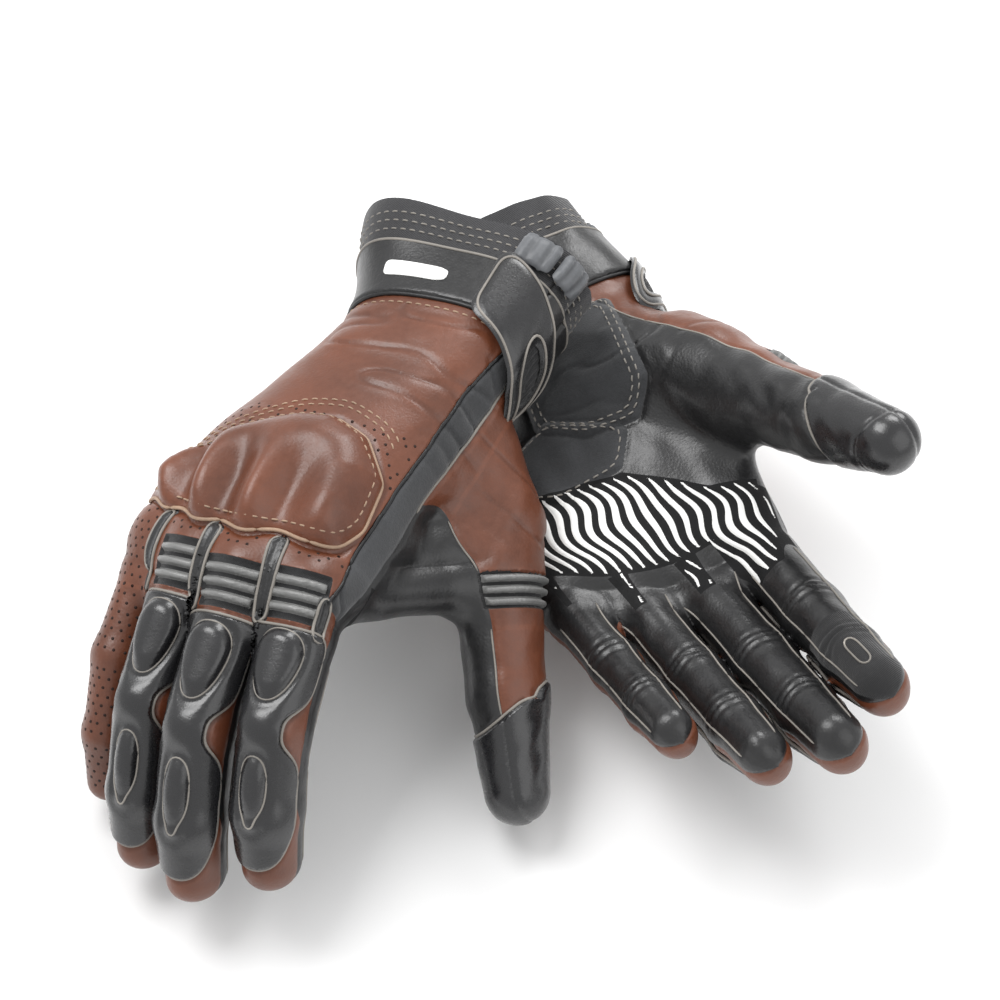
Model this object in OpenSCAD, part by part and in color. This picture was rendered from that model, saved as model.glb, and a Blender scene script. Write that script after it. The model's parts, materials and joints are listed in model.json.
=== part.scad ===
// A pair of short-cuff motorcycle gloves: the right glove lies palm down with its cuff
// over the cuff of the left glove, which lies on its back.  Every hollow is a real one.
// Each glove is drawn in a hand frame: origin at the wrist centre, fingers along -Y,
// thumb side +X, back of the hand +Z.  The left glove is the mirror image.

/* [Hand] */
// Wrist centre to the middle knuckle
palm_length = 88; // [84:1:92]
// Breadth over the knuckles, the unit for the knuckle spacing
palm_width = 88; // [87:1:90]
// Middle finger, knuckle to first finger joint
finger_length = 46.5; // [44:0.5:50]
// Thumb, root to its knuckle
thumb_length = 50; // [48:1:52]

/* [Cuff] */
// Wrist centre to the seam between leather and cuff
cuff_start = 16; // [14:1:18]
// Length of the cuff beyond that seam
cuff_length = 38; // [34:1:42]
// Width of the closure strap
strap_width = 24; // [20:1:26]

/* [Leather] */
// Thickness of leather with its lining
wall = 1.8; // [1.4:0.1:2.2]
// Clearance between neighbouring pieces
gap = 0.4; // [0.35:0.05:0.5]
// Height of the knuckle guard above the back
guard_height = 7; // [5:0.5:8]
// Height of the finger pads above the finger
pad_height = 2.4; // [1.5:0.1:3]

/* [Resting pose] */
// Bend of the right knuckles
right_bend = 27.5; // [25:0.5:30]
// Bend of the right first finger joints
right_bend_2 = 23.5; // [20:0.5:26]
// Bend of the right fingertip joints
right_bend_3 = 14; // [10:0.5:16]
// Bend of the left knuckles
left_bend = 14; // [12:0.5:20]
// Bend of the left first finger joints
left_bend_2 = 7; // [5:0.5:12]
// Bend of the left fingertip joints
left_bend_3 = 5; // [4:0.5:8]

/* [Hidden] */

brown = "sienna";
black = "#26262a";
grey = "dimgray";

// Where each glove lies: wrist centre, then pitch, roll and yaw
right_place = [[-40.58, 34.43, 66.5], [-3.2, -13, -23.6]];
left_place = [[21.22, 64.43, 29.123], [-0.2, 164.3, 23.6]];

// How the wrist leans to the thumb side: from and to these distances, by this share
right_lean = [-45, 16, 0.2];
left_lean = [16, 60, -0.3];

// Folding room in the leather at a finger joint, as hinge angles up and down
fold_up = 30;
fold_down = 68;

// Fingers in the order index, middle, ring, little
knuckle_x = palm_width * [0.284, 0.045, -0.182, -0.386];
knuckle_y = -palm_length * [0.97, 1, 0.945, 0.83];
knuckle_z = [2, 4, 2, -3];
finger_scale = [0.91, 1, 0.98, 0.87];
section_share = [1, 0.585, 0.41];
half_width = palm_width / 88 * [10.3, 10.2, 9.5, 8.3];
half_height = [12.6, 12.6, 11.8, 10.2];
taper = [1, 0.93, 0.86, 0.8];
right_splay = [2, 0.6, -0.6, -4];
left_splay = [7.6, 8, 8.2, 8.6];

// Thumb: root, radii at knuckle, joint and tip, and directions as [azimuth, drop]
thumb_root = [20, -0.143 * palm_length, -8];
thumb_radius = [15, 13.2, 11.6];
thumb_sections = thumb_length * [0.77, 0.52];
right_thumb = [[55.7, 35.8], [24, 33.2]];
left_thumb = [[33, 14], [24.5, 27]];
thumb_face = [0.78, 0, 0.62];

ring_steps = 16;
panel_cols = 41;

// --- the hand's outer surface -------------------------------------------------------

function rounded(v) = sign(v) * pow(abs(v), 0.8);
function body_width(y) = lookup(y, [[-92, 38], [-78, 40.5], [-60, 41.5], [-40, 39], [-20, 34],
    [-5, 31], [16, 31], [36, 31.5], [60, 35]]);
function body_height(y) = lookup(y, [[-92, 13], [-60, 17.5], [-30, 19], [16, 19], [60, 22]]);
function body_x(y) = lookup(y, [[-92, -3.5], [-60, -2.5], [-30, 1.5], [0, 4], [20, 6], [60, 7]])
    + $lean[2] * max(0, min(y, $lean[1]) - $lean[0]);
function body_z(y) = lookup(y, [[-92, 2.5], [-60, 2], [-20, 0]]);
function camber(x, y) = -0.0045 * pow(x - 6, 2) * min(1, max(0, -y / 60));

// Point at angle t around the hand, at y, raised by r above the leather
function body_point(t, y, r = 0) =
    let (x = body_x(y) + (body_width(y) + r) * rounded(cos(t)))
    [x, y, body_z(y) + (body_height(y) + r) * rounded(sin(t)) + camber(x, y)];

// Knuckle of finger i, moved out where turned fingers would close up on each other
function knuckle(i) = let (turn = $splay[1] - right_splay[1])
    let (across = knuckle_x[i] - knuckle_x[1], back = knuckle_y[i] - knuckle_y[1])
    [knuckle_x[1] + (across - back * sin(turn)) / cos(turn), knuckle_y[i], knuckle_z[i]];

// Setback of a leather edge from the hinge line it faces
function setback(z) = gap / 2 + (z > 0 ? z * tan(fold_up / 2) : -z * tan(fold_down / 2));
function hinge_line(x) = lookup(x, [for (i = [3:-1:0], side = [-0.92, 0.92])
    let (across = side * half_width[i])
    [knuckle(i).x + across, knuckle(i).y + across * tan($splay[i])]]);
function hinge_height(x) = lookup(x, [for (i = [3:-1:0], side = [-0.92, 0.92])
    [knuckle(i).x + side * half_width[i], knuckle(i).z]]);

// Point of a panel at share s of the way from its front edge to the cuff seam
function panel_point(t, s, r) =
    let (p = body_point(t, -0.93 * palm_length, r))
    let (front = hinge_line(p.x) + gap + setback(p.z - hinge_height(p.x)))
    body_point(t, front + s * (cuff_start - front), r);

// --- frames along fingers -----------------------------------------------------------

// A frame is [origin, across, back towards the wrist, up out of the finger's back]
function frame(p, across, along) = [p, across, -along, cross(along, across)];
function at(f, q) = f[0] + q.x * f[1] + q.y * f[2] + q.z * f[3];

function bend_direction(splay, bend) =
    [sin(splay) * cos(bend), -cos(splay) * cos(bend), -sin(bend)];
function section_length(i, k) = finger_length * finger_scale[i] * section_share[k];

function finger_bends(bends, k) = k == 0 ? bends[0] : bends[k] + finger_bends(bends, k - 1);
function finger_joint(i, k, splay, bends) = k == 0
    ? knuckle(i)
    : finger_joint(i, k - 1, splay, bends)
        + section_length(i, k - 1) * bend_direction(splay[i], finger_bends(bends, k - 1));
function finger_frame(i, k, splay, bends) = frame(finger_joint(i, k, splay, bends),
    [cos(splay[i]), sin(splay[i]), 0], bend_direction(splay[i], finger_bends(bends, k)));

function aim(a) = [sin(a[0]) * cos(a[1]), -cos(a[0]) * cos(a[1]), -sin(a[1])];
function unit(v) = v / norm(v);
function thumb_frame(p, along) = frame(p, unit(cross(thumb_face, along)), along);
function thumb_knuckle(thumb) = thumb_root + thumb_length * aim(thumb[0]);
function thumb_base_frame(thumb) = thumb_frame(thumb_knuckle(thumb), aim(thumb[1]));
function thumb_tip_frame(thumb) =
    thumb_frame(thumb_knuckle(thumb) + thumb_sections[0] * aim(thumb[1]), aim(thumb[1]));

// --- solids from rows of points -----------------------------------------------------

// Ring in a frame: side -1 or 1 trims it to face a hinge behind or ahead, 0 leaves it flat
function ring(f, y, rx, rz, side = 0) = [for (i = [0:ring_steps - 1])
    let (t = 360 * i / ring_steps, z = rz * sin(t))
    at(f, [rx * cos(t), y + side * (side == 0 ? 0 : setback(z)), z])];

// Skin between two equal grids of points.  around joins the last column to the first,
// capped closes the last row.
module skin(outer, inner, around = false, capped = false) {
    rows = len(outer);
    cols = len(outer[0]);
    last = around ? cols - 1 : cols - 2;
    function o(i, j) = i * cols + j % cols;
    function n(i, j) = (rows + i) * cols + j % cols;
    function quad(a, b, c, d) = [[a, b, c], [a, c, d]];
    points = [for (row = outer) each row, for (row = inner) each row];
    faces = [
        for (i = [0:rows - 2], j = [0:last])
            each quad(o(i, j), o(i, j + 1), o(i + 1, j + 1), o(i + 1, j)),
        for (i = [0:rows - 2], j = [0:last])
            each quad(n(i, j), n(i + 1, j), n(i + 1, j + 1), n(i, j + 1)),
        for (j = [0:last]) each quad(o(0, j), n(0, j), n(0, j + 1), o(0, j + 1)),
        if (!capped) for (j = [0:last])
            each quad(o(rows - 1, j), o(rows - 1, j + 1), n(rows - 1, j + 1), n(rows - 1, j)),
        if (capped) [for (j = [0:last]) o(rows - 1, j)],
        if (capped) [for (j = [last:-1:0]) n(rows - 1, j)],
        if (!around) for (i = [0:rows - 2])
            each quad(o(i, 0), o(i + 1, 0), n(i + 1, 0), n(i, 0)),
        if (!around) for (i = [0:rows - 2])
            each quad(o(i, cols - 1), n(i, cols - 1), n(i + 1, cols - 1), o(i + 1, cols - 1))
    ];
    polyhedron(points, faces);
}

// --- the panels of the hand ---------------------------------------------------------

module panel(t0, t1, s0, s1, r0, r1, cols = 13, rows = 8) {
    function row(s, r) = [for (j = [0:cols - 1]) panel_point(t0 + (t1 - t0) * j / (cols - 1), s, r)];
    skin([for (i = [0:rows - 1]) row(s0 + (s1 - s0) * i / (rows - 1), r1)],
        [for (i = [0:rows - 1]) row(s0 + (s1 - s0) * i / (rows - 1), r0)]);
}

// Room that the thumb needs where it leaves the hand
module thumb_room(thumb) {
    knuckle = thumb_knuckle(thumb);
    f = thumb_frame(thumb_root, aim(thumb[0]));
    g = thumb_base_frame(thumb);
    reach = thumb_radius[0] + 2 * gap;
    outer = [ring(f, 0, reach + 1, reach), ring(f, -0.7 * thumb_length, reach + 1, reach),
        ring(g, 0, reach + 1, reach + 1), ring(g, -24, reach, reach)];
    hull() skin(outer, [for (row = outer) [for (p = row) (p + knuckle) / 2]], around = true);
}

module back_panel(thumb) {
    color(brown) difference() {
        panel(1, 179, 0, 1, -wall, 0, panel_cols);
        thumb_room(thumb);
    }
}

module palm_panel(thumb) {
    color(black) difference() {
        panel(181, 359, 0, 1, -wall, 0, panel_cols);
        thumb_room(thumb);
    }
}

// Moulded guard with one dome over each knuckle
module knuckle_guard() {
    cols = 25;
    rows = 7;
    function dome(u, v) = 1.5 + guard_height * sin(180 * v) * (0.62 + 0.38 * abs(sin(4 * 180 * u)));
    function pt(i, j, raised) = let (u = j / (cols - 1), v = i / (rows - 1))
        panel_point(34 + 108 * u, 0.085 + 0.39 * v, raised ? dome(u, v) : gap);
    color(brown) skin([for (i = [0:rows - 1]) [for (j = [0:cols - 1]) pt(i, j, true)]],
        [for (i = [0:rows - 1]) [for (j = [0:cols - 1]) pt(i, j, false)]]);
}

// Three ribs of the stretch pleat behind the knuckle hinge
module flex_ribs() {
    color(grey) for (k = [0:2]) panel(43, 133, 0.004 + 0.025 * k, 0.022 + 0.025 * k, gap, 2.6, 21, 2);
}

// Flared cuff of two layers, longer than the leather all round
module cuff_band() {
    levels = [0.4, 10, 20, 30, cuff_length];
    function row(y, r) = [for (i = [0:23]) body_point(15 * i, cuff_start + y, r)];
    color(black) skin([for (y = levels) row(y, 0)], [for (y = levels) row(y, -wall)], around = true);
}

// Upper and lower pad on the heel of the hand
module heel_pads() {
    color(grey) {
        panel(248, 318, 0.78, 0.96, gap, 2.2, 9, 4);
        panel(205, 262, 0.5, 0.76, gap, 2.2, 9, 4);
    }
}

// Gripping zone across the palm behind the fingers
module grip_panel(thumb) {
    color(grey) difference() {
        panel(200, 312, 0.03, 0.44, gap, 1.4, 21, 5);
        thumb_room(thumb);
    }
}

module thumb_gusset(thumb) {
    f = thumb_frame(thumb_root, aim(thumb[0]));
    g = thumb_base_frame(thumb);
    function rows(r) = [ring(f, -0.28 * thumb_length, thumb_radius[0] - r, thumb_radius[0] - 1 - r),
        ring(f, -0.62 * thumb_length, thumb_radius[0] - r, thumb_radius[0] - 1 - r),
        ring(g, 0, thumb_radius[0] - r, thumb_radius[0] - 1 - r, 1)];
    color(black) skin(rows(0), rows(wall), around = true);
}

// --- closure ------------------------------------------------------------------------

// Strap over the thumb side of the wrist, u along it and v across it
function strap_point(u, v, r) = body_point(84 - 116 * u,
    28 - 26 * u + v * strap_width / 2 * (0.55 + 0.45 * sin(180 * (0.12 + 0.8 * u))), r);

module wrist_strap() {
    cols = 21;
    function row(v, r) = [for (j = [0:cols - 1]) strap_point(1 - j / (cols - 1), v, r)];
    color(black) skin([for (v = [-1, -0.3, 0.3, 1]) row(v, 2 * gap + 2)],
        [for (v = [-1, -0.3, 0.3, 1]) row(v, 2 * gap)]);
}

// Grooved tab on the cuff's edge that the fingers pull
module pull_tab() {
    cols = 9;
    function row(y, r) = [for (j = [0:cols - 1]) body_point(8 + 56 * j / (cols - 1), y, r)];
    ends = [cuff_start + cuff_length - 14, cuff_start + cuff_length - 2];
    color(grey) skin([for (y = ends) row(y, 2 * gap + 3)], [for (y = ends) row(y, 2 * gap)]);
}

// --- fingers ------------------------------------------------------------------------

function radius_at(i, k, share) = (taper[k] + (taper[k + 1] - taper[k]) * share);

// Leather tube of section k of finger i, open at both ends
module finger_tube(f, i, k) {
    long = section_length(i, k);
    function rows(r) = [for (s = [0, 0.5, 1])
        ring(f, -long * s, half_width[i] * radius_at(i, k, s) - r, half_height[i] * radius_at(i, k, s) - r,
            2 * s - 1)];
    skin(rows(0), rows(wall), around = true);
}

// Closed end of a finger, thin_x and thin_z being its half width and half height
module tip_cap(f, long, thin_x, thin_z) {
    function rows(r) = concat([ring(f, 0, thin_x - r, thin_z - r, -1), ring(f, -long, thin_x * 0.95 - r,
        thin_z * 0.93 - r)], [for (a = [30, 55, 75]) ring(f, -long - (thin_x - r) * sin(a),
        (thin_x * 0.95 - r) * cos(a), (thin_z * 0.93 - r) * cos(a))]);
    skin(rows(0), rows(wall), around = true, capped = true);
}

// Crowned pad on the back of section k, between shares s0 and s1 of its length
module finger_pad(f, i, k, s0, s1) {
    long = section_length(i, k);
    cols = 9;
    rows = 5;
    function pt(u, v, r) = let (s = s0 + (s1 - s0) * v, t = 38 + 104 * u)
        at(f, [(half_width[i] * radius_at(i, k, s) + r) * cos(t), -long * s,
            (half_height[i] * radius_at(i, k, s) + r) * sin(t)]);
    function crown(u, v) = 1.2 + (pad_height - 1.2) * sin(180 * u) * sin(180 * v);
    color(black) skin(
        [for (i = [rows - 1:-1:0]) [for (j = [0:cols - 1]) let (u = j / (cols - 1), v = i / (rows - 1))
            pt(u, v, crown(u, v))]],
        [for (i = [rows - 1:-1:0]) [for (j = [0:cols - 1]) pt(j / (cols - 1), i / (rows - 1), gap)]]);
}

module finger_piece(i, piece, splay, bends) {
    shade = i == 3 ? brown : black;
    if (piece == "proximal") color(shade) finger_tube(finger_frame(i, 0, splay, bends), i, 0);
    if (piece == "middle") color(shade) finger_tube(finger_frame(i, 1, splay, bends), i, 1);
    if (piece == "tip") color(brown) tip_cap(finger_frame(i, 2, splay, bends), section_length(i, 2),
        half_width[i] * taper[2], half_height[i] * taper[2]);
    if (piece == "knuckle_pad") finger_pad(finger_frame(i, 0, splay, bends), i, 0, 0.3, 0.78);
    if (piece == "finger_pad") finger_pad(finger_frame(i, 1, splay, bends), i, 1, 0.26, 0.74);
}

// --- thumb --------------------------------------------------------------------------

module thumb_base(thumb) {
    f = thumb_base_frame(thumb);
    function rows(r) = [for (s = [0, 0.5, 1]) let (d = thumb_radius[0] * (1 - s) + thumb_radius[1] * s - r)
        ring(f, -thumb_sections[0] * s, d, d - 1, 2 * s - 1)];
    color(brown) skin(rows(0), rows(wall), around = true);
}

module thumb_tip(thumb) {
    color(black) tip_cap(thumb_tip_frame(thumb), thumb_sections[1], thumb_radius[1], thumb_radius[1] - 1);
}

// --- the pair -----------------------------------------------------------------------

module hand_piece(piece, thumb, splay, bends) {
    if (piece == "back_panel") back_panel(thumb);
    if (piece == "palm_panel") palm_panel(thumb);
    if (piece == "knuckle_guard") knuckle_guard();
    if (piece == "flex_ribs") flex_ribs();
    if (piece == "cuff_band") cuff_band();
    if (piece == "heel_pads") heel_pads();
    if (piece == "grip_panel") grip_panel(thumb);
    if (piece == "thumb_gusset") thumb_gusset(thumb);
    if (piece == "wrist_strap") wrist_strap();
    if (piece == "pull_tab") pull_tab();
    if (piece == "thumb_base") thumb_base(thumb);
    if (piece == "thumb_tip") thumb_tip(thumb);
    fingers = ["index_", "middle_", "ring_", "little_"];
    for (i = [0:3], part = ["proximal", "middle", "tip", "knuckle_pad", "finger_pad"])
        if (piece == str(fingers[i], part)) finger_piece(i, part, splay, bends);
}

module right(piece) {
    $lean = right_lean;
    $splay = right_splay;
    translate(right_place[0]) rotate(right_place[1])
        hand_piece(piece, right_thumb, right_splay, [right_bend, right_bend_2, right_bend_3]);
}

module left(piece) {
    $lean = left_lean;
    $splay = left_splay;
    translate(left_place[0]) rotate(left_place[1]) mirror([1, 0, 0])
        hand_piece(piece, left_thumb, left_splay, [left_bend, left_bend_2, left_bend_3]);
}

right("back_panel");  // right_back_panel
right("palm_panel");  // right_palm_panel
right("knuckle_guard");  // right_knuckle_guard
right("flex_ribs");  // right_flex_ribs
right("cuff_band");  // right_cuff_band
right("heel_pads");  // right_heel_pads
right("grip_panel");  // right_grip_panel
right("thumb_gusset");  // right_thumb_gusset
right("wrist_strap");  // right_wrist_strap
right("pull_tab");  // right_pull_tab
right("index_proximal");  // right_index_proximal
right("index_middle");  // right_index_middle
right("index_tip");  // right_index_tip
right("index_knuckle_pad");  // right_index_knuckle_pad
right("index_finger_pad");  // right_index_finger_pad
right("middle_proximal");  // right_middle_proximal
right("middle_middle");  // right_middle_middle
right("middle_tip");  // right_middle_tip
right("middle_knuckle_pad");  // right_middle_knuckle_pad
right("middle_finger_pad");  // right_middle_finger_pad
right("ring_proximal");  // right_ring_proximal
right("ring_middle");  // right_ring_middle
right("ring_tip");  // right_ring_tip
right("ring_knuckle_pad");  // right_ring_knuckle_pad
right("ring_finger_pad");  // right_ring_finger_pad
right("little_proximal");  // right_little_proximal
right("little_middle");  // right_little_middle
right("little_tip");  // right_little_tip
right("thumb_base");  // right_thumb_base
right("thumb_tip");  // right_thumb_tip
left("back_panel");  // left_back_panel
left("palm_panel");  // left_palm_panel
left("knuckle_guard");  // left_knuckle_guard
left("flex_ribs");  // left_flex_ribs
left("cuff_band");  // left_cuff_band
left("heel_pads");  // left_heel_pads
left("grip_panel");  // left_grip_panel
left("thumb_gusset");  // left_thumb_gusset
left("wrist_strap");  // left_wrist_strap
left("pull_tab");  // left_pull_tab
left("index_proximal");  // left_index_proximal
left("index_middle");  // left_index_middle
left("index_tip");  // left_index_tip
left("index_knuckle_pad");  // left_index_knuckle_pad
left("index_finger_pad");  // left_index_finger_pad
left("middle_proximal");  // left_middle_proximal
left("middle_middle");  // left_middle_middle
left("middle_tip");  // left_middle_tip
left("middle_knuckle_pad");  // left_middle_knuckle_pad
left("middle_finger_pad");  // left_middle_finger_pad
left("ring_proximal");  // left_ring_proximal
left("ring_middle");  // left_ring_middle
left("ring_tip");  // left_ring_tip
left("ring_knuckle_pad");  // left_ring_knuckle_pad
left("ring_finger_pad");  // left_ring_finger_pad
left("little_proximal");  // left_little_proximal
left("little_middle");  // left_little_middle
left("little_tip");  // left_little_tip
left("thumb_base");  // left_thumb_base
left("thumb_tip");  // left_thumb_tip
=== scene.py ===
"""A pair of motorcycle gloves, right glove on top of the left one.

Each glove is shaped in a hand frame in millimetres: origin at the wrist centre, fingers
along -Y, thumb side +X, back of the hand +Z.  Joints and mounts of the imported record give
that frame and every finger's place; the left glove is the mirror image.
"""
import functools
import json
import math

import bpy
import numpy as np
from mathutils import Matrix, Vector


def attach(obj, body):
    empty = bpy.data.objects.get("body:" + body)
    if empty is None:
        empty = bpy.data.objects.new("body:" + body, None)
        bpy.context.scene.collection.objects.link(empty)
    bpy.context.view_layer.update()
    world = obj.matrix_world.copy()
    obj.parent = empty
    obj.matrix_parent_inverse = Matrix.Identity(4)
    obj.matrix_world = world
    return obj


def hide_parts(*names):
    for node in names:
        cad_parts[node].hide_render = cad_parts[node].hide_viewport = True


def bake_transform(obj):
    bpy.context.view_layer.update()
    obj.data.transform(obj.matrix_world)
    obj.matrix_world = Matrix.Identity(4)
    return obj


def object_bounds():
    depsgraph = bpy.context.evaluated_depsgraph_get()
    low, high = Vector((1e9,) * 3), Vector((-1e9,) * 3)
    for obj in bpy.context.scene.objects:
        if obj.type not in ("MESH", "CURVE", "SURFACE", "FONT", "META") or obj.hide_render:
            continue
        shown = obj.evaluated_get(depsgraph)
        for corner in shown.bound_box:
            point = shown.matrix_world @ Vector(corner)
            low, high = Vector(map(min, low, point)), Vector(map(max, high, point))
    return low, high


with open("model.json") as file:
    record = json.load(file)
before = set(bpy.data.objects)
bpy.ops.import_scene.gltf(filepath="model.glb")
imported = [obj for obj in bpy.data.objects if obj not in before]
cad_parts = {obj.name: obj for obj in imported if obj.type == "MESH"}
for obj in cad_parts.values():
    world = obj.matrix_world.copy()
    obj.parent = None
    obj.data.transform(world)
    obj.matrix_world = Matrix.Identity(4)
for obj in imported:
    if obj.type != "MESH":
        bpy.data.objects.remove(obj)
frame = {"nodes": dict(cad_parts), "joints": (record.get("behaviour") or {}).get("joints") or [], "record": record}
CAD_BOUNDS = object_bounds()

# --- driving dimensions, millimetres and degrees ------------------------------------

STEP = 0.8       # size of the hand's mesh
LEATHER = 1.3                           # thickness of the sheets
FINGERS = ("index", "middle", "ring", "little")
HALF_WIDTH = (10.05, 9.95, 9.2, 8.1)    # of each finger at its knuckle
FLATNESS = (1.24, 1.25, 1.26, 1.25)     # height by width of each finger
TAPER = (1.0, 0.98, 0.93, 0.86)         # of the width at knuckle, middle joint, tip joint, tip
MIDDLE_KNUCKLE = np.array([3.96, -88, 4])
THUMB_ROOT = np.array([20.0, -12.6, -8.0])
THUMB_FACE = np.array([0.78, 0.0, 0.62])
THUMB_RADIUS = (15.8, 14.4, 12.3, 9.4)
CUFF_SEAM, CUFF_BAND_END, CUFF_END = 16, 37, 54
GUARD_HEIGHT = 9.5
PIPING, STITCH = 0.62, 0.3              # radii
LINE_PITCH = 1.3                        # between the points of a piping
STRAP_LENGTH, STRAP_HALF = 66, 13.5
STRAP_HOLE = 0.66 * STRAP_LENGTH        # middle of the oval hole, from the sewn end

# the hand's section: half width, half height, centre x and centre z, by distance from the wrist
BODY_WIDTH = ((-92, -78, -60, -40, -20, -5, 16, 36, 60),
              (38, 40.5, 41.5, 39, 34, 31, 31, 31.5, 35))
BODY_HEIGHT = ((-92, -60, -30, 16, 60), (13, 17.5, 19, 19, 22))
BODY_X = ((-92, -60, -30, 0, 20, 60), (-3.5, -2.5, 1.5, 4, 6, 7))
BODY_Z = ((-92, -60, -20, 0), (2.5, 2, 0, 0))
ARCH = 0.0045                           # of the palm, across the knuckles
# the wrist leans towards the thumb: from and to these distances, by this share of them
LEAN = {"right": (-45, 16, 0.2), "left": (16, 60, -0.3)}
# fullness around the thumb's root: ends and radius, after the hand's own shape
THENAR = {"right": (((34, -2, -10), (50, -20, -30), 13.0), ((29, -77, -9), (54, -38, -39), 8.5),
                    ((27, -64, -9), (50, -30, -34), 9.0)),
          "left": (((36, -20, -9), (44, -34, -16), 11.5),)}
FLARE = {"right": 12.0, "left": 4.0}    # how far the cuff stands out on the little finger's side
THUMB_SIDE = np.array([0.8, 0, -0.6])   # out of the palm towards the thumb
THUMB_START = {"right": 43, "left": 38}  # the hand ends and the thumb begins this far out
GRIP_REACH = 34                         # the grip print goes this far out


ALONG = np.arange(-140.0, 100.0)        # where tables are smoothed


def smoothed(table, width=6.0):
    """The table as a smooth function."""
    kernel = np.exp(-np.arange(-20, 21) ** 2 / (2 * width ** 2))
    values = np.interp(np.pad(ALONG, 20, "edge"), *table)
    values = np.convolve(values, kernel / kernel.sum(), "valid")
    return lambda y: np.interp(y, ALONG, values)


body_width, body_height, body_z = map(smoothed, (BODY_WIDTH, BODY_HEIGHT, BODY_Z))


def middle_line(name):
    """The x of the hand's middle along a glove."""
    start, stop, share = LEAN[name]
    leaning = share * (np.clip(ALONG, start, stop) - start)
    return smoothed((ALONG, np.interp(ALONG, *BODY_X) + leaning))


def smoothstep(x, low, high):
    t = np.clip((x - low) / (high - low), 0, 1)
    return t * t * (3 - 2 * t)


def smooth_min(a, b, k):
    h = np.clip(0.5 + 0.5 * (b - a) / k, 0, 1)
    return b + (a - b) * h - k * h * (1 - h)


def smooth_max(a, b, k):
    return -smooth_min(-a, -b, k)


def within(*fields):
    """The field of what lies inside all of the regions."""
    return functools.reduce(np.maximum, fields)


def signed_power(v, exponent):
    return np.sign(v) * np.abs(v) ** exponent


def unit(v):
    return v / np.maximum(np.linalg.norm(v, axis=-1, keepdims=True), 1e-9)


def squared(up, ahead):
    """The unit vectors nearest up that stand square on ahead."""
    return unit(up - (up * ahead).sum(1, keepdims=True) * ahead)


def to_mm(angle, radius):
    """Length of an arc of an angle in degrees."""
    return angle * math.pi / 180 * radius


def polygon_distance(x, y, corners, round_by=0.0):
    """Distance to the outline of a polygon, negative inside; round_by rounds the corners."""
    best = np.full(x.shape, 1e9)
    inside = np.zeros(x.shape, bool)
    for (ax, ay), (bx, by) in zip(corners, corners[1:] + corners[:1]):
        ex, ey = bx - ax, by - ay
        t = np.clip(((x - ax) * ex + (y - ay) * ey) / (ex * ex + ey * ey), 0, 1)
        best = np.minimum(best, (x - ax - t * ex) ** 2 + (y - ay - t * ey) ** 2)
        crosses = ((ay > y) != (by > y)) & (x < (y - ay) / (by - ay + 1e-12) * ex + ax)
        inside ^= crosses
    return np.where(inside, -1, 1) * np.sqrt(best) - round_by


class Noise:
    """Smooth repeating noise on a seeded lattice, about -1 to 1."""

    def __init__(self, seed):
        self.lattice = np.random.default_rng(seed).uniform(-1, 1, (24, 24, 24))

    def __call__(self, p, scale):
        q = p / scale
        low = np.floor(q).astype(int)
        f = q - low
        f = f * f * (3 - 2 * f)
        total = np.zeros(len(p))
        for corner in range(8):
            bit = np.array([corner >> 2 & 1, corner >> 1 & 1, corner & 1])
            weight = np.prod(np.where(bit, f, 1 - f), axis=1)
            i, j, k = ((low + bit) % 24).T
            total += weight * self.lattice[i, j, k]
        return total


noise = Noise(7)


class Limb:
    """A tapered, rounded length of finger with its own directions along, across and up."""

    def __init__(self, start, end, across, radii, flat):
        self.start, self.length = start, np.linalg.norm(end - start)
        self.along = (end - start) / self.length
        self.across = unit(across - (across @ self.along) * self.along)
        self.up = np.cross(self.along, self.across)
        self.radii, self.flat = radii, flat

    def local(self, p):
        v = p - self.start
        return v @ self.along, v @ self.across, v @ self.up

    def distance(self, p):
        t, u, w = self.local(p)
        held = np.clip(t, 0, self.length)
        r = self.radii[0] + (self.radii[1] - self.radii[0]) * held / self.length
        over = t - held
        away = np.sqrt(u * u + w * w + over * over)
        q = np.sqrt(u * u + (w / self.flat) ** 2 + over * over) / r
        return away * (1 - 1 / np.maximum(q, 1e-3))


class Places:
    """Named coordinates of points on a glove."""


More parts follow.
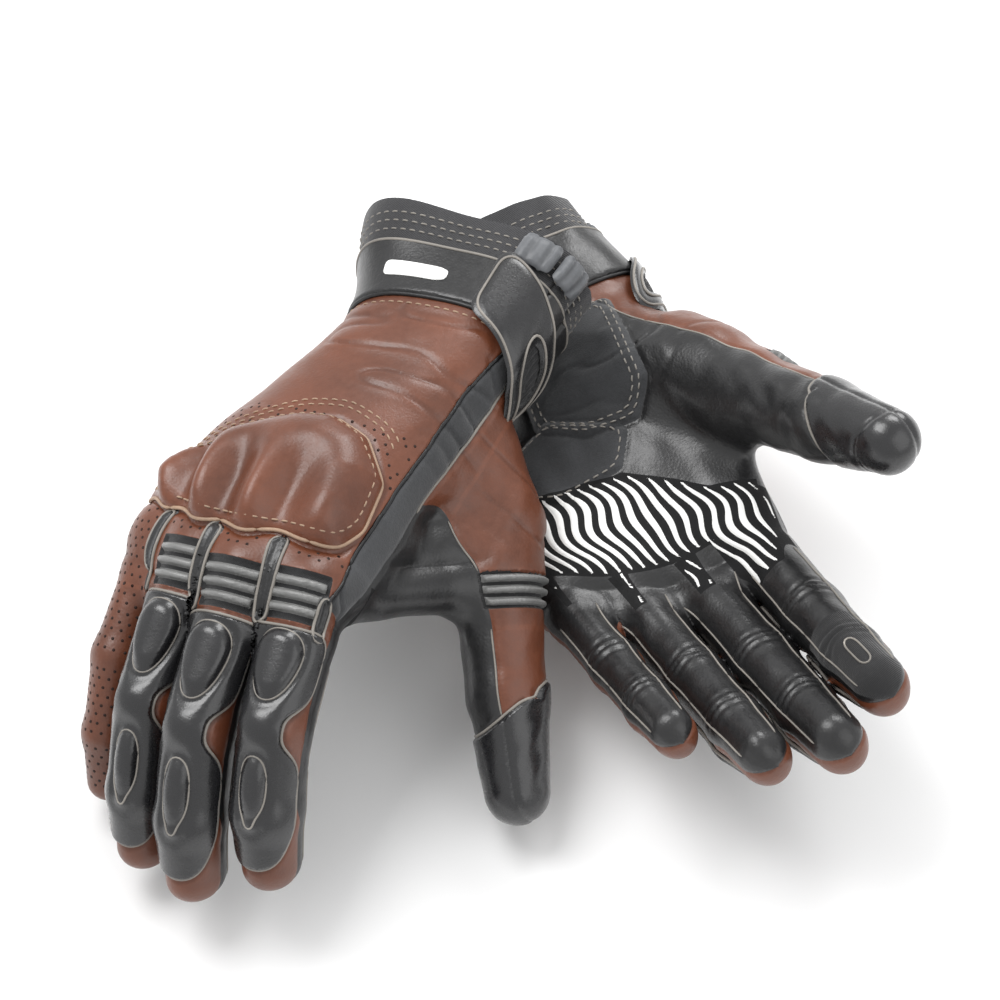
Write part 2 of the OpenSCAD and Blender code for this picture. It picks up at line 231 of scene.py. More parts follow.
class Glove:
    """One glove's hand frame, fingers and thumb, and its plain outer surface."""

    def __init__(self, name, side):
        self.name, self.side = name, side
        self.middle = middle_line(name)
        record = frame["record"]
        joints = {j["name"]: j for j in frame["joints"]}
        mount = next(m for m in record["mounts"] if m["name"] == f"{name}_hand_opening")
        axis = np.array(joints[f"{name}_middle_knuckle"]["axis"], float)
        back = unit(np.array(mount["axis"], float))
        up = unit(np.cross(axis, back))
        across = side * np.cross(back, up)
        self.axes = np.array([across, back, up])
        knuckle = np.array(joints[f"{name}_middle_knuckle"]["pos_m"]) * 1000
        self.origin = knuckle - MIDDLE_KNUCKLE @ self.axes

        def place(joint):
            spot = np.array(joints[f"{name}_{joint}"]["pos_m"]) * 1000
            return (spot - self.origin) @ self.axes.T

        def turn(joint):
            return side * self.axes @ np.array(joints[f"{name}_{joint}"]["axis"], float)

        def far_end(node, joint):
            co = np.array([v.co for v in frame["nodes"][f"{name}_{node}"].data.vertices]) * 1000
            co = (co - self.origin) @ self.axes.T
            reach = np.linalg.norm(co - joint, axis=1)
            return co[reach > reach.max() - 0.3].mean(0)

        self.fingers = []
        self.knuckles = []
        for i, finger in enumerate(FINGERS):
            j = [place(f"{finger}_{joint}") for joint in ("knuckle", "middle_joint", "tip_joint")]
            end = far_end(f"{finger}_tip", j[2])
            spots = j + [end - unit(end - j[2]) * HALF_WIDTH[i] * TAPER[3]]
            radii = [HALF_WIDTH[i] * t for t in TAPER]
            self.fingers.append([Limb(spots[k], spots[k + 1], turn(f"{finger}_knuckle"),
                                      radii[k:k + 2], FLATNESS[i]) for k in range(3)])
            self.knuckles.append(j[0])
        k, t = place("thumb_knuckle"), place("thumb_tip_joint")
        end = far_end("thumb_tip", t)
        end = end - unit(end - t) * THUMB_RADIUS[3]
        self.thumb = []
        for a, b, r in ((THUMB_ROOT, k, THUMB_RADIUS[0:2]), (k, t, THUMB_RADIUS[1:3]),
                        (t, end, THUMB_RADIUS[2:4])):
            self.thumb.append(Limb(a, b, np.cross(THUMB_FACE, unit(b - a)), r, 0.95))
        xs = [q[0] for q in self.knuckles][::-1]
        ys = [q[1] for q in self.knuckles][::-1]
        self.arc = smoothed(([xs[0] - 14] + xs + [xs[-1] + 14],
                             [ys[0] + 5] + ys + [ys[-1] + 2]), 4)
        self.webs = []
        for a, b in zip(self.fingers, self.fingers[1:]):
            for t, r in ((4, 10.5), (13.5, 8.6)):
                ends = [f[0].start + f[0].along * t - f[0].up * 0.5 for f in (a, b)]
                self.webs.append(Limb(ends[0], ends[1], a[0].along, (r, r), 1.0))
        self.thenar = [Limb(np.array(a, float), np.array(b, float), THUMB_FACE, (r, r), 1.0)
                       for a, b, r in THENAR[name]]

    def off_centre(self, p):
        x, y, z = p.T
        return x - self.middle(y), z - body_z(y) + ARCH * (x - 6) ** 2 * np.clip(-y / 60, 0, 1)

    def palm_distance(self, p):
        x, y = p[:, 0], p[:, 1]
        dx, dz = self.off_centre(p)
        q = ((np.abs(dx) / body_width(y)) ** 2.5 + (np.abs(dz) / body_height(y)) ** 2.5) ** 0.4
        side = np.hypot(dx, dz) * (1 - 1 / np.maximum(q, 1e-3))
        return smooth_max(side, self.arc(x) - 3 - y, 9)

    def finger_distances(self, p):
        out = []
        for limbs in self.fingers:
            d = [limb.distance(p) for limb in limbs]
            out.append(smooth_min(smooth_min(d[0], d[1], 3), d[2], 3))
        return np.array(out)

    def thumb_distance(self, p):
        d = [limb.distance(p) for limb in self.thumb]
        return smooth_min(smooth_min(d[0], d[1], 5), d[2], 3)

    def distance(self, p):
        fingers = self.finger_distances(p)
        webs = np.min([w.distance(p) for w in self.webs], axis=0)
        ahead = self.arc(p[:, 0]) - p[:, 1]
        hand = fingers[0]
        for finger in fingers[1:]:
            hand = smooth_min(hand, finger, 0.2 + 3.3 * (1 - smoothstep(ahead, 6, 18)))
        hand = smooth_min(hand, webs, 4)
        hand = smooth_min(self.palm_distance(p), hand, 7)
        hand = smooth_min(hand, np.min([w.distance(p) for w in self.thenar], axis=0), 7)
        return smooth_min(hand, self.thumb_distance(p), 10)

    def gradient(self, p, h=0.05):
        return np.stack([(self.distance(p + e) - self.distance(p - e)) / (2 * h)
                         for e in np.eye(3) * h], axis=1)

    def places(self, p):
        """Where points lie: theta around the hand; s along, phi around and off a finger's back;
        ts, psi and out on the thumb; ahead of the knuckles."""
        c = Places()
        c.p = p
        c.x, c.y, c.z = p.T
        dx, dz = self.off_centre(p)
        theta = np.degrees(np.arctan2(signed_power(dz / body_height(c.y), 1.25),
                                      signed_power(dx / body_width(c.y), 1.25)))
        c.theta = np.where(theta < -90, theta + 360, theta)
        c.ahead = self.arc(c.x) - c.y
        c.apart = self.finger_distances(p)
        c.finger = np.argmin(c.apart, axis=0)
        c.palm = self.palm_distance(p)
        c.thumb = self.thumb_distance(p)
        c.out = p @ THUMB_SIDE - THUMB_START[self.name]
        c.flare = FLARE[self.name]
        c.s, c.phi, c.r, c.joint1, c.joint2, c.tip = np.zeros((6, len(p)))
        for i, limbs in enumerate(self.fingers):
            m = c.finger == i
            c.s[m], c.phi[m], c.r[m] = self.along_limbs(limbs, p[m], False)
            c.joint1[m], c.joint2[m] = limbs[0].length, limbs[0].length + limbs[1].length
            c.tip[m] = c.joint2[m] + limbs[2].length + limbs[2].radii[1]
        c.off = np.abs(c.phi - 90)
        c.off = np.where(c.off > 180, 360 - c.off, c.off)
        c.radial = np.cos(np.radians(c.phi)) > 0
        c.ts, c.psi, c.tr = self.along_limbs(self.thumb, p, True)
        c.thumb_joint = self.thumb[1].length
        c.thumb_t, c.thumb_u, c.thumb_w = self.thumb[0].local(p)
        _, u1, w1 = self.thumb[1].local(p)
        turn = smoothstep(c.thumb_t, self.thumb[0].length - 8, self.thumb[0].length + 6)
        c.thumb_back = ((0.436 * c.thumb_u + 0.9 * c.thumb_w) * (1 - turn)
                        + (0.436 * u1 + 0.9 * w1) * turn) - 3.4
        return c

    @staticmethod
    def along_limbs(limbs, p, from_second):
        """Distance along, angle around (90 on the back) and radius, of the nearest limb."""
        d = np.array([limb.distance(p) for limb in limbs])
        nearest = np.argmin(d, axis=0)
        s, phi, r = np.zeros((3, len(p)))
        done = -limbs[0].length if from_second else 0.0
        for k, limb in enumerate(limbs):
            m = nearest == k
            t, u, w = limb.local(p[m])
            low = -1e9 if k == 0 else 0
            high = 1e9 if k == len(limbs) - 1 else limb.length
            held = np.clip(t, low, high)
            over = np.hypot(w, t - held) * np.where(w < 0, -1, 1)
            s[m] = done + held
            phi[m] = np.degrees(np.arctan2(over / limb.flat, u))
            share = np.clip(t / limb.length, 0, 1)
            r[m] = (limb.radii[0] + (limb.radii[1] - limb.radii[0]) * share) * (1 + limb.flat) / 2
            done += limb.length
        return s, np.where(phi < -90, phi + 360, phi), r


# --- mesh tools on arrays -----------------------------------------------------------

def faces(*corners):
    """Triangles from threes of arrays of vertex numbers."""
    return np.concatenate([np.stack(three, 1) for three in corners])


def fan(sides):
    """Triangles that fill a ring."""
    k = np.arange(1, sides - 1)
    return faces((np.zeros_like(k), k, k + 1))


def ring(up, out, sides):
    """A unit circle around each point."""
    turn = np.arange(sides) * 2 * math.pi / sides
    return np.cos(turn)[None, :, None] * up[:, None] + np.sin(turn)[None, :, None] * out[:, None]


def skin(rows, sides, closed):
    """Triangles of a tube of rings, with lids unless it is closed."""
    i, j = np.meshgrid(np.arange(rows if closed else rows - 1), np.arange(sides), indexing="ij")
    i, j = i.ravel(), j.ravel()
    a, b = i * sides + j, i * sides + (j + 1) % sides
    c, d = (i + 1) % rows * sides + (j + 1) % sides, (i + 1) % rows * sides + j
    tris = faces((a, c, b), (a, d, c))
    if closed:
        return tris
    return np.concatenate([tris, fan(sides), (rows - 1) * sides + fan(sides)[:, ::-1]])


def directed_edges(tris):
    return np.concatenate([tris[:, [0, 1]], tris[:, [1, 2]], tris[:, [2, 0]]])


def compacted(tris):
    """The vertices that triangles use, and the triangles renumbered to them."""
    used, compact = np.unique(tris, return_inverse=True)
    return used, compact.reshape(-1, 3)


def surface_net(values, low, step):
    """Vertices and triangles of the zero surface of a grid of distances."""
    inside = values < 0
    nx, ny, nz = (n - 1 for n in values.shape)
    corners = [(i, j, k) for i in (0, 1) for j in (0, 1) for k in (0, 1)]
    count = sum(inside[i:nx + i, j:ny + j, k:nz + k].astype(np.int8) for i, j, k in corners)
    cells = np.argwhere((count > 0) & (count < 8))
    ids = np.full((nx, ny, nz), -1, np.int32)
    ids[tuple(cells.T)] = np.arange(len(cells))
    total, hits = np.zeros((len(cells), 3)), np.zeros(len(cells))
    for a in corners:
        for axis in range(3):
            if a[axis]:
                continue
            b = tuple(1 if n == axis else a[n] for n in range(3))
            va, vb = values[tuple((cells + a).T)], values[tuple((cells + b).T)]
            crossed = (va < 0) != (vb < 0)
            t = np.where(crossed, va / np.where(crossed, va - vb, 1), 0)
            spot = np.array(a, float) + t[:, None] * np.eye(3)[axis]
            total += np.where(crossed[:, None], spot, 0)
            hits += crossed
    verts = low + (cells + total / hits[:, None]) * step
    quads = []
    for axis in range(3):
        others = [n for n in range(3) if n != axis]
        a = inside[tuple(slice(0, -1) if n == axis else slice(1, -1) for n in range(3))]
        b = inside[tuple(slice(1, None) if n == axis else slice(1, -1) for n in range(3))]
        at = np.argwhere(a != b)
        first = a[tuple(at.T)]
        at[:, others] += 1
        around = []
        for du, dv in ((1, 1), (0, 1), (0, 0), (1, 0)):
            cell = at.copy()
            cell[:, others[0]] -= du
            cell[:, others[1]] -= dv
            around.append(ids[tuple(cell.T)])
        quad = np.stack(around, axis=1)
        flip = first if axis != 1 else ~first
        quads.append(np.where(flip[:, None], quad, quad[:, ::-1]))
    quads = np.concatenate(quads)
    quads = quads[(quads >= 0).all(axis=1)]
    return verts, np.concatenate([quads[:, [0, 1, 2]], quads[:, [0, 2, 3]]])


def glove_surface(glove):
    """The glove's smooth outer surface as vertices and triangles."""
    spots = np.array([l.start + l.along * t * l.length for f in glove.fingers + [glove.thumb]
                      for l in f for t in (0, 1)])
    low = np.minimum(spots.min(0) - 20, [-50, 0, -32])
    high = np.maximum(spots.max(0) + 20, [70, CUFF_END + 5, 34])
    coarse = 2 * STEP
    size = np.ceil((high - low) / coarse).astype(int) + 1
    grid = np.stack(np.meshgrid(*[low[n] + coarse * np.arange(size[n]) for n in range(3)],
                                indexing="ij"), axis=-1)
    rough = glove.distance(grid.reshape(-1, 3)).reshape(size)
    values = rough.repeat(2, 0).repeat(2, 1).repeat(2, 2)
    near = np.argwhere(np.abs(values) < 3.6 * coarse)
    values[tuple(near.T)] = glove.distance(low + near * STEP)
    verts, tris = surface_net(values, low, STEP)
    for _ in range(3):
        verts = relax(verts, tris, 0.5)
        for _ in range(2):
            g = glove.gradient(verts)
            verts = verts - (glove.distance(verts) / np.maximum((g * g).sum(1), 0.2))[:, None] * g
    return verts, tris


def relax(values, tris, amount):
    """Moves each vertex's value towards the mean of its neighbours."""
    edges = np.unique(np.sort(directed_edges(tris), axis=1), axis=0)
    n = len(values)
    count = np.bincount(edges.ravel(), minlength=n)
    flat = values.reshape(n, -1)
    mean = np.stack([(np.bincount(edges[:, 0], flat[edges[:, 1], k], n)
                      + np.bincount(edges[:, 1], flat[edges[:, 0], k], n)) / np.maximum(count, 1)
                     for k in range(flat.shape[1])], axis=1)
    return (flat + amount * (mean - flat)).reshape(values.shape)


def vertex_normals(verts, tris):
    a, b, c = (verts[tris[:, k]] for k in range(3))
    face = np.cross(b - a, c - a)
    total = np.stack([sum(np.bincount(tris[:, k], face[:, n], len(verts)) for k in range(3))
                      for n in range(3)], axis=1)
    return unit(total)


def cut(verts, tris, field, snap=0.06):
    """Splits triangles along field = 0."""
    low, high = field[tris].min(axis=1), field[tris].max(axis=1)
    crossing = (low < 0) & (high > 0)
    field = field.copy()
    if not crossing.any():
        return verts, tris
    size = np.median(high[crossing] - low[crossing])
    field[np.abs(field) < snap * size] = 0
    sign = np.sign(field)
    work = tris[crossing]
    kept = tris[~crossing]
    pairs = np.sort(directed_edges(work), axis=1)
    pairs = pairs[sign[pairs[:, 0]] * sign[pairs[:, 1]] < 0]
    if not len(pairs):
        return verts, tris
    pairs = np.unique(pairs, axis=0)
    key = pairs[:, 0].astype(np.int64) * len(verts) + pairs[:, 1]
    t = field[pairs[:, 0]] / (field[pairs[:, 0]] - field[pairs[:, 1]])
    new = verts[pairs[:, 0]] + t[:, None] * (verts[pairs[:, 1]] - verts[pairs[:, 0]])

    def middle(p, q):
        lo, hi = np.minimum(p, q).astype(np.int64), np.maximum(p, q).astype(np.int64)
        spot = np.searchsorted(key, lo * len(verts) + hi)
        return len(verts) + spot

    def from_first(rows, is_first):
        start = np.argmax(is_first, axis=1)
        return (rows[np.arange(len(rows)), (start + k) % 3] for k in range(3))

    s = sign[work]
    zeros = (s == 0).sum(axis=1)
    mixed = (s.min(axis=1) < 0) & (s.max(axis=1) > 0)
    one, two = mixed & (zeros == 1), mixed & (zeros == 0)
    p, q, r = from_first(work[one], s[one] == 0)
    m = middle(q, r)
    through_corner = faces((p, q, m), (p, m, r))
    alone = np.where(s[two].sum(axis=1) > 0, -1, 1)
    p, q, r = from_first(work[two], s[two] == alone[:, None])
    pq, pr = middle(p, q), middle(p, r)
    across = faces((p, pq, pr), (pq, q, r), (pq, r, pr))
    return (np.concatenate([verts, new]),
            np.concatenate([kept, work[~mixed], through_corner, across]))


def isolines(verts, normals, tris, field, level=0.0):
    """Lines where field = level: a list of (points, normals, closed)."""
    g = field - level
    g = np.where(np.abs(g) < 1e-7, 1e-7, g)
    s = g[tris] > 0
    work = tris[(s.sum(axis=1) > 0) & (s.sum(axis=1) < 3)]
    if not len(work):
        return []
    ends = []
    for a, b in ((0, 1), (1, 2), (2, 0)):
        crossed = (g[work[:, a]] > 0) != (g[work[:, b]] > 0)
        lo, hi = np.minimum(work[:, a], work[:, b]), np.maximum(work[:, a], work[:, b])
        ends.append(np.where(crossed, lo.astype(np.int64) * len(verts) + hi, -1))
    ends = np.sort(np.stack(ends, 1), axis=1)[:, 1:]
    keys, index = np.unique(ends, return_inverse=True)
    index = index.reshape(ends.shape)
    lo, hi = keys // len(verts), keys % len(verts)
    t = (g[lo] / (g[lo] - g[hi]))[:, None]
    points = verts[lo] * (1 - t) + verts[hi] * t
    up = unit(normals[lo] * (1 - t) + normals[hi] * t)
    links = [[] for _ in keys]
    for a, b in index:
        links[a].append(b)
        links[b].append(a)
    seen = np.zeros(len(keys), bool)
    lines = []
    for begin in [n for n in range(len(keys)) if len(links[n]) == 1] + list(range(len(keys))):
        if seen[begin]:
            continue
        chain, here = [begin], begin
        seen[begin] = True
        while True:
            onward = [n for n in links[here] if not seen[n]]
            if not onward:
                break
            here = onward[0]
            seen[here] = True
            chain.append(here)
        closed = len(chain) > 3 and chain[0] in links[chain[-1]]
        lines.append((points[chain], up[chain], closed))
    return lines


def resample(points, up, closed, pitch, soften=2):
    """The line again at an even pitch."""
    if closed:
        points, up = np.vstack([points, points[:1]]), np.vstack([up, up[:1]])
    reach = np.concatenate([[0], np.cumsum(np.linalg.norm(np.diff(points, axis=0), axis=1))])
    if reach[-1] < 2 * pitch:
        return None
    n = max(4, int(round(reach[-1] / pitch)))
    at = np.linspace(0, reach[-1], n + 1)
    if closed:
        at = at[:-1]
    points = np.stack([np.interp(at, reach, points[:, k]) for k in range(3)], 1)
    up = unit(np.stack([np.interp(at, reach, up[:, k]) for k in range(3)], 1))
    for _ in range(soften):
        if closed:
            points = (np.roll(points, 1, 0) + 2 * points + np.roll(points, -1, 0)) / 4
        elif len(points) > 2:
            points[1:-1] = (points[:-2] + 2 * points[1:-1] + points[2:]) / 4
    return points, up, closed


def tube(points, up, closed, radius, lift=0.3, sides=8):
    """A closed tube along a line."""
    n = len(points)
    if closed:
        ahead = unit(np.roll(points, -1, 0) - np.roll(points, 1, 0))
    else:
        ahead = unit(np.gradient(points, axis=0))
    up = squared(up, ahead)
    taper = np.ones(n)
    if not closed:
        taper[[0, -1]] = 0.45
    centre = points + up * radius * lift
    circle = ring(up, np.cross(ahead, up), sides)
    verts = (centre[:, None] + radius * taper[:, None, None] * circle).reshape(-1, 3)
    return verts, skin(n, sides, closed)


# along a stitch: share of its length, of its radius, and height over the leather by radius
STITCH_SHAPE = ((-0.5, 0.35, -0.9), (-0.34, 0.95, 0.1), (0, 1.0, 0.55), (0.34, 0.95, 0.1),
                (0.5, 0.35, -0.9))


def stitches(points, up, closed, length=2.3, pitch=3.2, sides=6):
    """Thread stitches along a line, one closed body each."""
    line = resample(points, up, closed, pitch, 1)
    if line is None:
        return None
    points, up, closed = line
    ahead = unit(np.roll(points, -1, 0) - points)
    if not closed:
        points, up, ahead = points[:-1], up[:-1], ahead[:-1]
    up = squared(up, ahead)
    circle = ring(up, np.cross(ahead, up), sides)
    verts = []
    for along, swell, lift in STITCH_SHAPE:
        centre = points + ahead * along * length + up * lift * STITCH
        verts.append(centre[:, None] + STITCH * swell * circle)
    one = skin(len(STITCH_SHAPE), sides, False)
    base = np.arange(len(points))[:, None, None] * len(STITCH_SHAPE) * sides
    return np.stack(verts, 1).reshape(-1, 3), (base + one[None]).reshape(-1, 3)


def studs(points, up, radius, top, depth, sides=8):
    """A closed little disc at each point."""
    aside = unit(np.cross(up, up[:, [1, 2, 0]]))
    circle = radius * ring(aside, np.cross(up, aside), sides)
    verts = np.concatenate([points[:, None] + circle + up[:, None] * lift
                            for lift in (top, top - depth)], axis=1)
    k = np.arange(sides)
    n = (k + 1) % sides
    one = np.concatenate([fan(sides), sides + fan(sides)[:, ::-1],
                          faces((k, k + sides, n), (n, k + sides, n + sides))])
    base = np.arange(len(points))[:, None, None] * 2 * sides
    return verts.reshape(-1, 3), (base + one[None]).reshape(-1, 3)


def lattice_picks(a, b, allowed, pitch):
    """Vertices nearest the points of a triangular lattice over the coordinates a and b."""
    row = np.round(b / (pitch * 0.866))
    column = np.round(a / pitch - 0.5 * (row % 2))
    miss = np.hypot(a - (column + 0.5 * (row % 2)) * pitch, b - row * pitch * 0.866)
    ok = np.flatnonzero(allowed & (miss < 0.8))
    ok = ok[np.lexsort((miss[ok], row[ok], column[ok]))]
    _, first = np.unique(np.stack([row[ok], column[ok]], 1), axis=0, return_index=True)
    return ok[first]


def join(parts):
    """Several (vertices, triangles) as one."""
    verts, tris, n = [], [], 0
    for v, t in parts:
        verts.append(v)
        tris.append(t + n)
        n += len(v)
    return np.concatenate(verts), np.concatenate(tris)


def shell(verts, normals, tris, thickness):
    """A closed sheet of leather whose outer face is the given open surface."""
    used, tris = compacted(tris)
    verts, normals = verts[used], normals[used]
    n = len(verts)
    directed = directed_edges(tris)
    key = directed[:, 0].astype(np.int64) * n + directed[:, 1]
    back = directed[:, 1].astype(np.int64) * n + directed[:, 0]
    rim = directed[~np.isin(key, back)]
    a, b = rim.T
    walls = faces((a, a + n, b + n), (a, b + n, b))
    inner = verts - normals * thickness
    return (np.vstack([verts, inner]), np.vstack([normals, -normals]),
            np.vstack([tris, tris[:, ::-1] + n, walls]))


# --- where each material lies -------------------------------------------------------

RIB_PITCH, RIB_HALF = 4.1, 1.45
STRIPE_PITCH = 3.9                      # of the grip print
STRIP = (0, 27)                         # the side strip, angles around the hand
STRIP_RADIUS = 30                       # turns those angles into millimetres
GUARD_OUTLINE = [(-41, -95), (-41, -67), (-36, -60), (-18, -50), (2, -40), (12, -38), (22, -41),
                 (30, -51), (31, -66), (26, -80), (22, -95)]
HEEL_UPPER = [(8, 4), (21, 4), (19, -30), (12, -37), (-3, -35), (-15, -26), (-12, -8)]
HEEL_LOWER = [(-26, -32), (-14, -29), (5, -41), (-1, -50), (-21, -51), (-33, -44)]
GRIP_TOP = ((-40, -34, 0, 14, 22, 34), (-45, -48, -54, -64, -71, -74))
DOME_PHASE = ((-39, -29, -21.5, -14, -5.5, 3, 12, 23, 37), (-0.5, 0, 0.5, 1, 1.5, 2, 2.5, 3, 3.5))


def capsule(side, along, low, high, radius):
    return np.hypot(side, np.maximum(np.maximum(along - high, low - along), 0)) - radius


def oval(side, along, half_side, half_along):
    q = (np.abs(side / half_side) ** 2.4 + np.abs(along / half_along) ** 2.4) ** (1 / 2.4)
    return (q - 1) * np.minimum(half_side, half_along) * 0.8


def fields(c):
    """Signed distances on the surface, negative inside each region, by name."""
    f = {}
    long_fingers = np.where(c.finger == 3, 9.0, -99.0)
    index_only = np.where(c.finger == 0, 0, 9)
    a = to_mm(c.off, c.r)
    # brown leather: the back, narrower along the fingers, and the thumb's back
    ulnar = 196 + 30 * smoothstep(c.y, -30, 0)
    on_palm = to_mm(np.maximum(STRIP[1] - c.theta, c.theta - ulnar), 28)
    side_limit = 84 + 11 * smoothstep(c.s, c.joint2 - 4, c.joint2 + 4)
    side_limit = np.where(c.finger == 3, 97, side_limit)
    on_finger = to_mm(c.off - side_limit, c.r)
    onto = smoothstep(c.s, -4, 6)
    f["back"] = on_palm * (1 - onto) + on_finger * onto
    f["thumb_back"] = within(-c.thumb_back, to_mm(c.theta - STRIP[0], STRIP_RADIUS))
    beside = to_mm(np.maximum(STRIP[0] - c.theta, c.theta - STRIP[1]), STRIP_RADIUS)
    f["strip"] = within(beside, c.ahead - 9)
    f["cuff"] = CUFF_SEAM + 3.5 * np.cos(np.radians(c.theta - 80)) - c.y
    f["flare"] = CUFF_BAND_END + 1.5 * np.cos(np.radians(c.theta - 80)) - c.y
    # knuckle guard, its front edge waved between the domes
    c.dome = 0.5 + 0.5 * np.cos(2 * math.pi * np.interp(c.x, *DOME_PHASE))
    front = 3.0 + 6 * smoothstep(c.x, -38, 22) - 2.2 * c.dome
    outline = polygon_distance(c.x, c.y, GUARD_OUTLINE, 2.5)
    f["guard"] = np.maximum(smooth_max(outline, c.ahead + front, 2.5), -c.z - 1)
    # on the fingers: ribs at the knuckle, padded overlay, pads on it, loops between the roots
    across = to_mm(c.off - 56, c.r)
    f["ribzone"] = within(across, -3.2 - c.s, c.s - 12.4, long_fingers)
    band = np.min([np.abs(c.s - 0.6 - RIB_PITCH * k) for k in range(3)], axis=0) - RIB_HALF
    f["rib"] = within(across + 0.8, band, long_fingers)
    last = c.joint2 + 0.58 * (c.tip - c.joint2)
    waist = 78 - 37 * np.exp(-((c.s - c.joint1) / 6.5) ** 2)
    begin = c.joint2 - 3
    past = np.clip(c.s - begin, 0, None) / (last - begin + 1)
    close = np.sqrt(np.clip(1 - past ** 2, 0.02, 1))
    over = smooth_max(a - to_mm(waist, c.r) * close, c.s - last, 3)
    f["overlay"] = within(smooth_max(over, 13.8 - c.s, 5), long_fingers)
    middle = c.joint2 - c.joint1
    along, half = c.s - 0.62 * c.joint1, 0.27 * c.joint1
    upper = oval(a, along, to_mm(40, c.r) * (1 - 0.33 * np.clip(along / half, -1, 1)), half)
    lower = oval(a, c.s - c.joint1 - 0.62 * middle, to_mm(25, c.r), 0.43 * middle)
    f["pad"] = np.maximum(np.minimum(upper, lower), long_fingers)
    loops = [capsule((c.apart[j] - c.apart[j + 1]) / 1.5, c.s, -10, 12, 2.7) for j in range(3)]
    loops = within(np.min(loops, axis=0), to_mm(c.off - 105, c.r))
    side = capsule(to_mm(c.phi - 36, c.r), c.s, 5, 15, 2.2) + index_only
    f["loop"] = within(np.minimum(loops, side), -f["guard"] - 0.2)
    f["bar"] = capsule(to_mm(180 - c.off, c.r), c.s, c.tip - 19, c.tip - 9, 2.2) + index_only
    # the palm: heel pads, grip print and its wavy stripes, touch panel of the index finger
    for name, outline in (("heel_upper", HEEL_UPPER), ("heel_lower", HEEL_LOWER)):
        f[name] = within(polygon_distance(c.x, c.y, outline, 3), c.z + 3)
    hand = np.minimum(c.palm, c.apart.min(axis=0))
    zone = within(c.y - np.interp(c.x, *GRIP_TOP), c.ahead - 1.5, c.z + 8)
    patch = within(to_mm(116 - c.off, c.r), np.abs(c.s - 11) - 16) + index_only
    on_thumb = hand - c.thumb + 1
    f["grip"] = within(np.minimum(zone, patch), on_thumb, c.p @ THUMB_SIDE - GRIP_REACH)
    wave = c.x + 0.2 * c.y + 1.5 * np.sin(c.y / 4.6 + c.x / 9) + 0.7 * np.sin(c.y / 2.9)
    taper = np.clip(-(f["grip"] + 0.8) / 6, 0, 1) ** 0.5
    stripe = np.abs(np.mod(wave / STRIPE_PITCH, 1) - 0.5) * STRIPE_PITCH - taper
    f["stripe"] = within(stripe, f["grip"] + 1.1)
    f["touch"] = within(to_mm(112 - c.off, c.r), c.joint2 - 9 - c.s,
                        np.where(c.finger == 0, on_thumb, 9.0))
    # the thumb: ribs at its knuckle, padded tip
    ribs = np.min([np.abs(c.ts - 4.2 - 3.5 * k) for k in range(3)], axis=0)
    across = to_mm(np.abs(c.psi - 78) - 66, c.tr)
    near = np.where(c.thumb < hand + 2, -99.0, 9.0)
    f["thumb_ribzone"] = within(across, np.abs(c.ts - 7.7) - 5.6, near)
    f["thumb_rib"] = within(across + 0.8, ribs - 1.2, near)
    f["thumb_tip"] = within(c.thumb_joint + 4 - 8 * np.cos(np.radians(c.psi - 20)) - c.ts, near)
    return f


REGIONS = (
    # label, field, material, CAD node it stands for; a later row lies over an earlier one
    ("back", "back", "brown_leather", "back_panel"),
    ("thumbback", "thumb_back", "brown_leather", None),
    ("strip", "strip", "grey_suede", None),
    ("heelupper", "heel_upper", "grey_suede", "heel_pads"),
    ("heellower", "heel_lower", "grey_suede", None),
    ("grip", "grip", "grip_print", "grip_panel"),
    ("stripes", "stripe", "silicone", None),
    ("touch", "touch", "stretch_fabric", None),
    ("ribbase", "ribzone", "stretch_fabric", None),
    ("ribs", "rib", "stretch_pleat", "flex_ribs"),
    ("overlay", "overlay", "padded_leather", None),
    ("pads", "pad", "padded_leather", None),
    ("loops", "loop", "black_leather", None),
    ("guard", "guard", "brown_leather", "knuckle_guard"),
    ("thumbribbase", "thumb_ribzone", "stretch_fabric", None),
    ("thumbribs", "thumb_rib", "stretch_pleat", None),
    ("thumbtip", "thumb_tip", "padded_leather", None),
    ("cuff", "cuff", "black_leather", "cuff_band"),
    ("flare", "flare", "cuff_fabric", None),
)
EXTRA_CUTS = (("guard", -1.2), ("guard", 1.0), ("overlay", -1.4), ("pad", 0.9), ("pad", -0.9),
              ("ribzone", 0.5), ("rib", -0.5), ("loop", -0.8), ("loop", 0.5), ("cuff", -1.0),
              ("flare", -0.9), ("thumb_tip", -1.2), ("thumb_rib", -0.4))


def rise(field, width):
    """0 outside a region, 1 beyond a width inside its edge."""
    return smoothstep(-field, 0, width)


def dent(field, width):
    return np.exp(-(field / width) ** 2)


def flare(most, theta, y):
    around = smoothstep(theta, 85, 150) * (1 - smoothstep(theta, 200, 262))
    return most * smoothstep(y, CUFF_SEAM, CUFF_END + 4) * around


